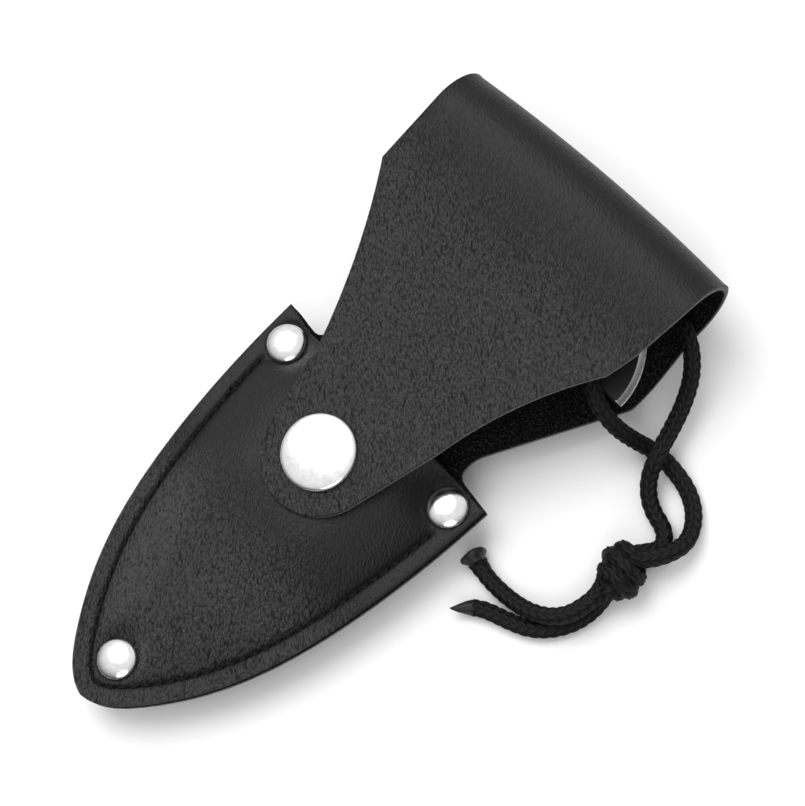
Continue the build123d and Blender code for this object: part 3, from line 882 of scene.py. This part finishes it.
def pressing_and_shade_mark(piece):
    """Mark where thread and rivets have pressed the pocket, and where painted shade darkens its
    stitching groove and the rims round its rivets.
    """
    x, y, _ = points_of(piece).T
    across = np.abs(x)[:, None] - edge_line[None, ::4, 0]
    up = y[:, None] - edge_line[None, ::4, 1]
    inset = np.sqrt((across ** 2 + up ** 2).min(axis=1))
    # Along the stitching groove: pressed by the thread, and painted shade in the groove.
    mark = np.exp(-((inset - SEAM_INSET) / 0.62) ** 2) * stitched(y)
    for rivet_x, rivet_y in RIVETS:
        away = np.hypot(x - rivet_x, y - rivet_y)
        # Round each rivet's rim: pressed by the cap, and painted shade where the cap meets the hide.
        mark = np.maximum(mark, np.exp(-((away - 4.2) / 0.45) ** 2))
    layer = piece.data.attributes.new("pressing_and_shade_mark", "FLOAT", "POINT")
    layer.data.foreach_set("value", mark.astype(np.float32))


pressing_and_shade_mark(pocket)
moulded = points_of(pocket)
moulded[:, 1] += ear(moulded[:, 0], moulded[:, 1])
move_points(pocket, moulded)
bring_home(pocket)

# %% [markdown]
# ## Belt loop
# A wider strap is sewn across the back at both ends and stands clear of it in the middle, so that a
# belt passes behind. It is cut like the hide, then eased down from its sewn ends to its middle.

# %% Cut and bend the belt loop
STRAP = 2.0
STRAP_HALF = 15.0
STRAP_MIDDLE_Y = 21.8
STRAP_REACH = 36.0
STRAP_CORNER = 3.0
STRAP_SEWN, STRAP_CLEAR = 6.0, 1.0   # height of its middle plane at its ends and in its middle
strap_right = rounded(
    [(0, -STRAP_REACH), (STRAP_HALF, -STRAP_REACH), (STRAP_HALF, STRAP_REACH), (0, STRAP_REACH)],
    [STRAP_CORNER, STRAP_CORNER], 9,
)
strap = cut_blank("belt_strap", whole(evenly(strap_right, 1.0)))
score(strap, (0, 1, 0), np.arange(-34.5, 35, 1.0))
score(strap, (1, 0, 0), (-9, -3, 3, 9))
make_slots(strap)
flat = points_of(strap)
flat[:, 2] = STRAP_CLEAR + (STRAP_SEWN - STRAP_CLEAR) * ramp(np.abs(flat[:, 1]), 19.5, 27.0)
move_points(strap, flat)
thicken(strap, STRAP)
lay_flat_pattern(strap)
strapped = points_of(strap)
strapped[:, 1] += STRAP_MIDDLE_Y
strapped[:, 2] = np.maximum(strapped[:, 2], 0.02)
move_points(strap, strapped)
bring_home(strap)

# %% [markdown]
# ## Thread
# A stitch is two strands of thread laid up together, so its section is an oval that turns along its
# length. One stitch is made and copied along every seam, on the face and again on the back.

# %% Sew the seams
STITCH = [(0.08, 0.0), (0.34, 0.12), (0.44, 0.45), (0.45, 0.85), (0.45, 1.25), (0.44, 1.65),
          (0.34, 1.98), (0.08, 2.1)]
PITCH = 2.6
stitch = turned("stitch", STITCH, segments=8, twist=math.radians(38), flatten=0.66)
stitch.data.transform(at(0, 0, -STITCH[-1][1] / 2))
stitch.data.transform(Matrix.Rotation(math.radians(90), 4, "Y"))


def copies(name, piece, places):
    """Copy a piece's mesh to many places and join the copies as one piece."""
    made = []
    for spot in places:
        made.append(new_object(name, piece.data.copy()))
        made[-1].data.transform(spot)
    join(*made)
    made[0].name = made[0].data.name = name
    return made[0]


def laid(x, y, z, heading, slant=0.0):
    return at(x, y, z) @ Matrix.Rotation(heading + slant, 4, "Z")


seam_line = offset_edge(SEAM_INSET)
seam_length = float(np.linalg.norm(np.diff(seam_line, axis=0), axis=1).sum())
NEARBY = 0.004         # share of the seam looked ahead and back for its heading


def on_seam(shares):
    """Spots on the seam and which way it runs there."""
    ahead = at_shares(seam_line, shares + NEARBY) - at_shares(seam_line, shares - NEARBY)
    return zip(at_shares(seam_line, shares), ahead)


def seam_top(x, y):
    """Height of the pocket's face at the seam."""
    return float(pocket_height(np.array([x]), np.array([y]), np.array([SEAM_INSET]))[0])


def seam_places(side):
    """Face and back places of the stitches up one side of the pocket."""
    places = []
    shares = (np.arange(int(seam_length // PITCH)) + 0.5) * PITCH / seam_length
    for number, ((x, y), (dx, dy)) in enumerate(on_seam(shares)):
        if y > MOUTH_RIVETS[0][1] - 5.6:
            continue
        heading = math.atan2(dy, side * dx)
        slant = side * math.radians(7) + math.radians(3) * math.sin(7.3 * number)
        places.append(laid(side * x, y, seam_top(x, y) + 0.10, heading, slant))
        places.append(laid(side * x, y, BACK_BOTTOM - 0.10, heading, -slant))
    return places


def doubled(side, share, layers=5):
    """A few stitches sewn over each other, where the thread was started."""
    ((x, y), (dx, dy)), = on_seam(np.array([share]))
    heading = math.atan2(dy, side * dx)
    top = seam_top(x, y)
    places = []
    for layer in range(layers):
        shift = 1.1 * math.sin(2.1 * layer + 0.5)
        aside = 0.42 * math.cos(2.9 * layer)
        places.append(
            laid(side * x + shift * math.cos(heading) - aside * math.sin(heading),
                 y + shift * math.sin(heading) + aside * math.cos(heading),
                 top + 0.22 + 0.10 * layer, heading, 0.35 * math.sin(4.0 * layer + 1))
        )
    return places


seam_left = copies("seam_left", stitch, seam_places(-1) + doubled(-1, 0.78))
seam_right = copies("seam_right", stitch, seam_places(1))
rows = []
for end in (-1, 1):
    for inset in (2.0, 8.0):
        for number in range(8):
            x, y = (number - 3.5) * PITCH, STRAP_MIDDLE_Y + end * (STRAP_REACH - inset)
            slant = math.radians(6) * math.sin(5.1 * number)
            rows.append(laid(x, y, 5.0 - 0.08, 0, slant))
            rows.append(laid(x, y, BACK_BOTTOM + HIDE + 0.06, 0, -slant))
strap_stitches = copies("strap_stitches", stitch, rows)
bpy.data.objects.remove(stitch)
for piece in (seam_left, seam_right, strap_stitches):
    bring_home(piece, 60)

# %% [markdown]
# ## Rivets and snap
# Tubular rivets close the pocket's corners: a domed cap on the face and a flat, rolled head behind.
# The snap has a broad shallow cap on the flap, a socket with a wire spring under it, and a stud on the
# pocket. All are turned shapes, so each is given as rings from the bottom up.

# %% Turn the rivets
RIVET_CAP = [(3.2, 0.05), (3.75, 0.0), (3.97, 0.14), (4.0, 0.34), (3.9, 0.55), (3.6, 0.80),
             (3.0, 1.10), (2.3, 1.34), (1.5, 1.50), (0.8, 1.57), (0.25, 1.6)]
RIVET_HEAD = [(3.1, 0.0), (3.85, -0.06), (4.0, -0.28), (3.85, -0.52), (3.3, -0.74), (2.6, -0.86),
              (2.2, -0.88), (1.9, -0.78), (1.55, -0.52), (1.2, -0.5), (0.5, -0.5)]
CAP_SPREAD = 1.09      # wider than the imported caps
ROUND = 50             # angle up to which turned metal is shaded smooth


def set_in(name, rings, where, segments=48):
    """A turned part at its place, still in millimetres."""
    piece = turned(name, rings, segments)
    piece.data.transform(where)
    return piece


spread_cap = [(CAP_SPREAD * radius, rise) for radius, rise in RIVET_CAP]
rivet_caps, rivet_posts = {}, {}
for label, (x, y) in zip(("tip", "left", "right"), RIVETS):
    cap = set_in(f"rivet_cap_{label}_chrome", spread_cap, at(x, y, FLANGE_TOP - 0.18))
    bring_home(cap, ROUND)
    rivet_caps[label] = cap
    post = set_in(f"rivet_post_{label}_chrome", RIVET_HEAD, at(x, y, BACK_BOTTOM))
    join(post, set_in("shank", [(1.4, BACK_BOTTOM - 0.3), (1.4, FLANGE_TOP + 0.9)], at(x, y, 0), 24))
    bring_home(post, ROUND)
    rivet_posts[label] = post

# %% Turn the snap
flap_frame = at(0, FOLD_Y, FOLD_Z) @ Matrix.Rotation(FLAP_SLOPE, 4, "X")
on_flap = flap_frame @ at(TAB_ASIDE, -SNAP_ALONG, 0)
FLAP_UNDER = FOLD_OUTSIDE - HIDE
SNAP_CAP = [(7.1, 0.06), (7.75, 0.0), (8.02, 0.12), (8.1, 0.34), (8.02, 0.58), (7.75, 0.78),
            (7.4, 0.88), (6.8, 1.00), (5.5, 1.16), (4.0, 1.31), (2.6, 1.42), (1.3, 1.48),
            (0.35, 1.5)]
on_face = on_flap @ at(0, 0, FOLD_OUTSIDE)
snap_cap = set_in("snap_cap_chrome", SNAP_CAP, on_face, 72)
join(snap_cap, set_in("shank", [(1.8, -2.0), (1.8, 0.5)], on_face, 24))
bring_home(snap_cap, ROUND)

SOCKET = [(1.85, 0.0), (5.6, 0.0), (6.08, -0.1), (6.2, -0.35), (6.15, -0.7), (5.8, -0.95),
          (5.2, -1.0), (4.5, -0.93), (4.1, -0.98), (3.9, -0.9), (3.9, -0.32), (1.85, -0.32),
          (1.85, 0.0)]


def ring_turned(name, rings):
    """A turned part with a hole through it: its rings end where they began."""
    piece = turned(name, rings, 64)
    cleaner = bmesh.new()
    cleaner.from_mesh(piece.data)
    caps = [face for face in cleaner.faces if len(face.verts) > 4]
    bmesh.ops.delete(cleaner, geom=caps, context="FACES")
    bmesh.ops.remove_doubles(cleaner, verts=cleaner.verts, dist=1e-4)
    bmesh.ops.recalc_face_normals(cleaner, faces=cleaner.faces)
    cleaner.to_mesh(piece.data)
    cleaner.free()
    return piece


snap_socket = ring_turned("snap_socket_chrome", SOCKET)
snap_socket.data.transform(on_flap @ at(0, 0, FLAP_UNDER))
bring_home(snap_socket, ROUND)

let_go()
WIRE_SIDES = 12
bpy.ops.mesh.primitive_circle_add(
    vertices=WIRE_SIDES, radius=0.2, rotation=(math.pi / 2, 0, 0), location=(3.62, 0, 0)
)
snap_spring = bpy.context.object
snap_spring.name = snap_spring.data.name = "snap_spring_wire"
bpy.ops.object.transform_apply(location=True, rotation=True)
open_up(snap_spring)
bpy.ops.mesh.spin(steps=60, angle=math.radians(320), center=(0, 0, 0), axis=(0, 0, 1))
bpy.ops.mesh.select_all(action="SELECT")
bpy.ops.mesh.fill_holes(sides=WIRE_SIDES)
bpy.ops.mesh.normals_make_consistent(inside=False)
let_go()
snap_spring.data.transform(on_flap @ at(0, 0, FLAP_UNDER - 0.65))
bring_home(snap_spring, 60)

STUD = [(4.0, 0.0), (4.4, 0.05), (4.5, 0.22), (4.35, 0.4), (3.1, 0.46), (2.75, 0.6), (2.8, 0.8),
        (3.0, 0.95), (2.95, 1.15), (2.6, 1.28), (1.9, 1.3), (1.75, 1.15), (1.2, 1.05),
        (0.4, 1.05)]
stud_x, stud_y = TAB_ASIDE, SNAP_Y + TAB_BACK
snap_stud = set_in("snap_stud_chrome", STUD, at(stud_x, stud_y, POCKET_TOP))
bring_home(snap_stud, ROUND)
POST = [(4.1, -0.45), (4.42, -0.4), (4.5, -0.25), (4.4, -0.05), (4.2, 0.0), (1.8, 0.0), (1.8, 2.3)]
snap_post = set_in("snap_post_chrome", POST, at(stud_x, stud_y, POCKET_TOP - HIDE))
bring_home(snap_post)

# %% [markdown]
# ## The hand axe
# The tool is one flat piece of steel, coated black but for its ground edge. Its exact shape is the
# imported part, so a copy of that part's mesh is merged, freed of its flat triangles and given small
# bevels, which catch the light along its rim.

# %% Dress the steel
GROUND_LEAN = (30, 55)   # degrees; only the ground edge leans this much
axe = new_object("axe_steel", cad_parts["hand_axe"].data.copy())
axe.data.transform(Matrix.Scale(1000, 4))
axe.data.materials.clear()
make_slots(axe, 2)
open_up(axe)
bpy.ops.mesh.remove_doubles(threshold=0.0005)
bpy.ops.mesh.dissolve_limited(angle_limit=math.radians(0.6))
let_go()
finish_with(
    axe, "BEVEL", width=0.18, segments=2, limit_method="ANGLE", angle_limit=math.radians(12),
    use_clamp_overlap=True, harden_normals=False,
)
for face in axe.data.polygons:
    lean = math.degrees(math.acos(min(1.0, abs(face.normal.z))))
    face.material_index = 1 if GROUND_LEAN[0] < lean < GROUND_LEAN[1] else 0
bring_home(axe, 25)

# %% [markdown]
# ## Finishes for leather
# Grain leather is embossed with small pebbles, drawn out along the hide. They are cells of a Voronoi
# pattern in the flat shape's own coordinates, so that they bend with the hide. Their crests are paler
# and a little glossier than the valleys between them, and the valleys' darker colour is painted shade.
# Where the pebbles are smoothed out near the fold, the colour takes that painted shade as a dark band.
# Where thread or a rivet has pressed the hide it is duller, and darker partly from the pressing and
# partly as painted shade in the stitching groove and round the rivets' rims.

# %% Mix the leather
# LEATHER_DARK is the painted shade of the pebbles' valleys and of the smoothed band; LEATHER_LIGHT is
# their crests.
LEATHER_DARK, LEATHER_LIGHT = (0.006, 0.006, 0.0064), (0.044, 0.044, 0.046)
# Colour where thread and rivets press: partly pressed leather, partly painted shade in the groove and
# round the rivets.
PRESSED_AND_SHADE = (0.0012, 0.0012, 0.0012, 1)
PEBBLE = (0.85, 0.45, 1.0)
CALM_NEAR, CALM_FAR = 15.0, 34.0   # millimetres from a fold's middle


def leather(name, turn, calm_at=-1.0):
    """Grain leather, its pebbles laid at a turn on the flat shape and stretched smooth at a fold; its
    valleys and the smooth band are painted darker as shade.
    """
    material, tree, shader = finish(name, LEATHER_LIGHT, 0.45, specular=0.25)
    flat = place(tree, space="UV")
    pebbles = place(tree, PEBBLE, turn, "UV")
    drift = add(tree, "ShaderNodeTexNoise", {"Vector": flat, "Scale": 0.8, "Detail": 2.0})
    vectors = "ShaderNodeVectorMath"
    wander = maths(tree, "MULTIPLY", drift.outputs["Color"], (0.8, 0.8, 0.0), kind=vectors)
    warped = maths(tree, "ADD", pebbles, wander, kind=vectors)
    cells = add(
        tree, "ShaderNodeTexVoronoi", {"Vector": warped, "Scale": 1.0, "Smoothness": 0.25},
        feature="SMOOTH_F1",
    ).outputs["Distance"]
    pebble = between(tree, cells, 1.0, 0.0)
    fine = noise(tree, warped, 1.3, 3, 0.6)
    broad = noise(tree, flat, 0.035, 3)
    coarse = maths(tree, "MULTIPLY_ADD", fine, 0.5, pebble)
    along = add(tree, "ShaderNodeSeparateXYZ", {0: flat}).outputs["Y"]
    distance = maths(tree, "ABSOLUTE", maths(tree, "SUBTRACT", along, calm_at))
    # Smooths the grain near a fold, which also paints that band dark as shade.
    calm_and_fold_shade = between(tree, distance, 0.2, 1.0, CALM_NEAR, CALM_FAR)
    height = maths(tree, "MULTIPLY", coarse, calm_and_fold_shade)
    # Where the hide is pressed, and where painted shade darkens the stitching groove and the rivets'
    # rims.
    press_and_shade = add(tree, "ShaderNodeAttribute", attribute_name="pressing_and_shade_mark").outputs["Fac"]
    patches_and_valley_shade = maths(tree, "MULTIPLY_ADD", broad, 0.25, height)
    # Colour from random patches and from the pebbles' height: low valleys get painted shade.
    tone = tint(tree, patches_and_valley_shade, LEATHER_DARK, LEATHER_LIGHT, 0.45, 1.25)
    marked = {"Factor": press_and_shade, 6: tone, 7: PRESSED_AND_SHADE}
    colour = add(tree, "ShaderNodeMix", marked, data_type="RGBA").outputs[2]
    gloss = between(tree, pebble, 0.52, 0.40)
    dulled = maths(tree, "MULTIPLY_ADD", press_and_shade, 0.35, gloss)
    wire(shader, colour=colour, roughness=dulled, normal=bump(tree, height, 1.0, 0.55))
    return material


grain_leather = leather("grain_leather", 0.72, calm_at=(BACK_LENGTH + FLAP_START) / 2)
pocket_leather = leather("pocket_leather", 2.35)
print("pebbles are", PEBBLE[:2], "mm")

# %% [markdown]
# ## The other finishes
# Each is an even base with one or two noise patterns: pale specks on the flesh side, pale fibres on a
# cut edge, the ply of thread, faint scuffs on chrome, grain on the coated steel, long scratches on the
# ground rim. The cord's colour is painted darkest in the valleys of its braid, as shade.

# %% Mix the other finishes
def patterned(name, colour, roughness, grain, tones=None, gloss=None, relief=None, **kind):
    """A finish with one noise pattern in its colour, its roughness and its relief."""
    material, tree, shader = finish(name, colour, roughness, **kind)
    pattern = noise(tree, place(tree), *grain)
    if gloss:
        wire(shader, roughness=between(tree, pattern, *gloss))
    if tones:
        wire(shader, colour=tint(tree, pattern, *tones))
    if relief:
        wire(shader, normal=bump(tree, pattern, *relief))
    return material


flesh_side, tree, shader = finish("flesh_side", (0.004, 0.004, 0.004), 0.95, specular=0.15)
where = place(tree)
fuzz = noise(tree, where, 3.5, 5, 0.75)
specks = noise(tree, where, 2.2, 2, 0.5)
speck_tint = tint(tree, specks, (0.002, 0.002, 0.002), (0.050, 0.049, 0.048), 0.50, 0.78)
wire(shader, colour=speck_tint, normal=bump(tree, fuzz, 0.9, 0.25))
cut_edge = patterned(
    "cut_edge", (0.06, 0.06, 0.06), 0.92, (2.8, 5, 0.75), specular=0.2,
    tones=((0.02, 0.02, 0.021), (0.24, 0.24, 0.24), 0.34, 0.66), relief=(0.8, 0.2),
)
bonded_thread = patterned(
    "bonded_thread", (0.003, 0.003, 0.003), 0.6, (5.0, 2), specular=0.15,
    tones=((0.001, 0.001, 0.001), (0.006, 0.006, 0.006)), relief=(0.3, 0.05),
)
chrome = patterned(
    "polished_chrome", (0.78, 0.78, 0.79), 0.08, (0.8, 4, 0.65), metallic=1.0, gloss=(0.12, 0.26),
    tones=((0.66, 0.66, 0.65), (0.76, 0.76, 0.77), 0.30, 0.70), relief=(0.05, 0.02),
)
spring_steel = patterned(
    "spring_wire", (0.45, 0.44, 0.42), 0.3, (4.0, 3), metallic=1.0, gloss=(0.22, 0.42)
)
coated_steel = patterned(
    "coated_steel", (0.006, 0.006, 0.0065), 0.5, (4.0, 3, 0.6), specular=0.3,
    gloss=(0.42, 0.62), relief=(0.25, 0.04),
)
melted_nylon = patterned(
    "melted_nylon", (0.010, 0.010, 0.011), 0.45, (1.2, 3), specular=0.25,
    tones=((0.004, 0.004, 0.004), (0.020, 0.020, 0.022)), relief=(0.5, 0.2),
)

ground_steel, tree, shader = finish("ground_steel", (0.62, 0.62, 0.63), 0.25, metallic=1.0)
scratches = noise(tree, place(tree, (4.0, 0.25, 1.0)), 1.2, 3, 0.6)
wire(shader, roughness=between(tree, scratches, 0.18, 0.40), normal=bump(tree, scratches, 0.2, 0.02))

nylon, tree, shader = finish("braided_nylon", (0.008, 0.008, 0.009), 0.62, specular=0.2)
crest = add(tree, "ShaderNodeAttribute", attribute_name="crest").outputs["Fac"]
# The braid's valleys are painted darker, as shade; its crests keep the cord's colour.
braid_valley_shade = tint(tree, crest, (0.0002, 0.0002, 0.0002), (0.008, 0.008, 0.0085), 0.45, 1.0)
wire(shader, colour=braid_valley_shade, normal=bump(tree, noise(tree, place(tree), 6.0, 2), 0.4, 0.06))


def wear(piece, *materials):
    """Give a piece its finishes, one for each of its slots."""
    make_slots(piece, len(materials) - len(piece.data.materials))
    for number, material in enumerate(materials):
        piece.data.materials[number] = material


for piece in (back_panel, fold_strip, flap):
    wear(piece, flesh_side, grain_leather, cut_edge)
wear(pocket, pocket_leather, flesh_side, cut_edge)
wear(strap, flesh_side, grain_leather, cut_edge)
for piece in (seam_left, seam_right, strap_stitches):
    wear(piece, bonded_thread)
rivets = (*rivet_caps.values(), *rivet_posts.values())
for piece in (*rivets, snap_cap, snap_socket, snap_stud, snap_post):
    wear(piece, chrome)
wear(snap_spring, spring_steel)
wear(axe, coated_steel, ground_steel)
for piece in (lanyard_outer, lanyard_inner):
    wear(piece, nylon)
for piece in (melted_bead, cut_point):
    wear(piece, melted_nylon)

# %% [markdown]
# ## Onto the bodies
# Each piece moves with one imported body and stands for the imported parts that it replaces. The fold
# stays on the sheath.

# %% Ride on the bodies
RIDERS = [
    (back_panel, "sheath", "leather", ["back_panel"]),
    (pocket, "sheath", "leather", ["pocket_front"]),
    (strap, "sheath", "leather", ["belt_loop"]),
    (seam_left, "sheath", "thread", ["seam_stitching_left"]),
    (seam_right, "sheath", "thread", ["seam_stitching_right"]),
    (strap_stitches, "sheath", "thread", ["belt_loop_stitching"]),
    (snap_stud, "sheath", "chrome", ["snap_stud"]),
    (snap_post, "sheath", "chrome", ["snap_post"]),
    (flap, "flap", "leather", ["flap_panel"]),
    (snap_cap, "flap", "chrome", ["snap_cap"]),
    (snap_socket, "flap", "chrome", ["snap_socket"]),
    (snap_spring, "flap", "spring_wire", ["snap_spring"]),
    (axe, "tool", "coated_steel", ["hand_axe"]),
    (lanyard_outer, "tool", "cord", ["lanyard_loop", "lanyard_knot", "lanyard_tail_melted"]),
    (lanyard_inner, "tool", "cord", ["lanyard_tail_cut"]),
    (melted_bead, "tool", "cord", []),
    (cut_point, "tool", "cord", []),
]
RIDERS += [(cap, "sheath", "chrome", ["rivet_cap_" + label]) for label, cap in rivet_caps.items()]
RIDERS += [(post, "sheath", "chrome", ["rivet_post_" + label]) for label, post in rivet_posts.items()]
for piece, body, slot, nodes in RIDERS:
    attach(piece, body)
    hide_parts(*nodes)
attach(fold_strip, "sheath")
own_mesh(fold_strip)
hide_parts("flap_fold")

# %% [markdown]
# ## Floor and light
# A plain pale floor in a bright studio: a world that is brighter overhead and to the left, one large
# soft light high on the left and a weaker one on the right.

# %% Floor and light
let_go()
bpy.ops.mesh.primitive_plane_add(size=3)
floor = bpy.context.object
floor.name = "floor"
paper, tree, shader = finish("pale_paper", (0.92, 0.92, 0.92), 0.9, specular=0.2)
floor.data.materials.append(paper)
bpy.context.scene.view_settings.view_transform = "Standard"
world = bpy.data.worlds.new("studio")
world.use_nodes = True
bpy.context.scene.world = world
sky = world.node_tree
BRIGHT_SIDE = (-0.35, 0.25, 0.90)
facing = {0: add(sky, "ShaderNodeTexCoord").outputs["Generated"], 1: BRIGHT_SIDE}
toward = add(sky, "ShaderNodeVectorMath", facing, operation="DOT_PRODUCT").outputs["Value"]
glow = tint(sky, toward, (0.10, 0.10, 0.10), (1, 1, 1), 0.20, 0.75)
sky.links.new(glow, sky.nodes["Background"].inputs["Color"])
sky.nodes["Background"].inputs["Strength"].default_value = 1.05


def softbox(name, spot, size, power):
    """A round soft light at a spot, aimed at the sheath."""
    light = bpy.data.lights.new(name, "AREA")
    light.shape = "DISK"
    light.size = size
    light.energy = power
    lamp = new_object(name, light)
    lamp.location = spot
    lamp.rotation_euler = (-Vector(spot)).to_track_quat("-Z", "Y").to_euler()


softbox("key", (-0.45, 0.1, 1.0), 0.8, 6)
softbox("fill", (0.6, -0.5, 0.8), 0.7, 3)
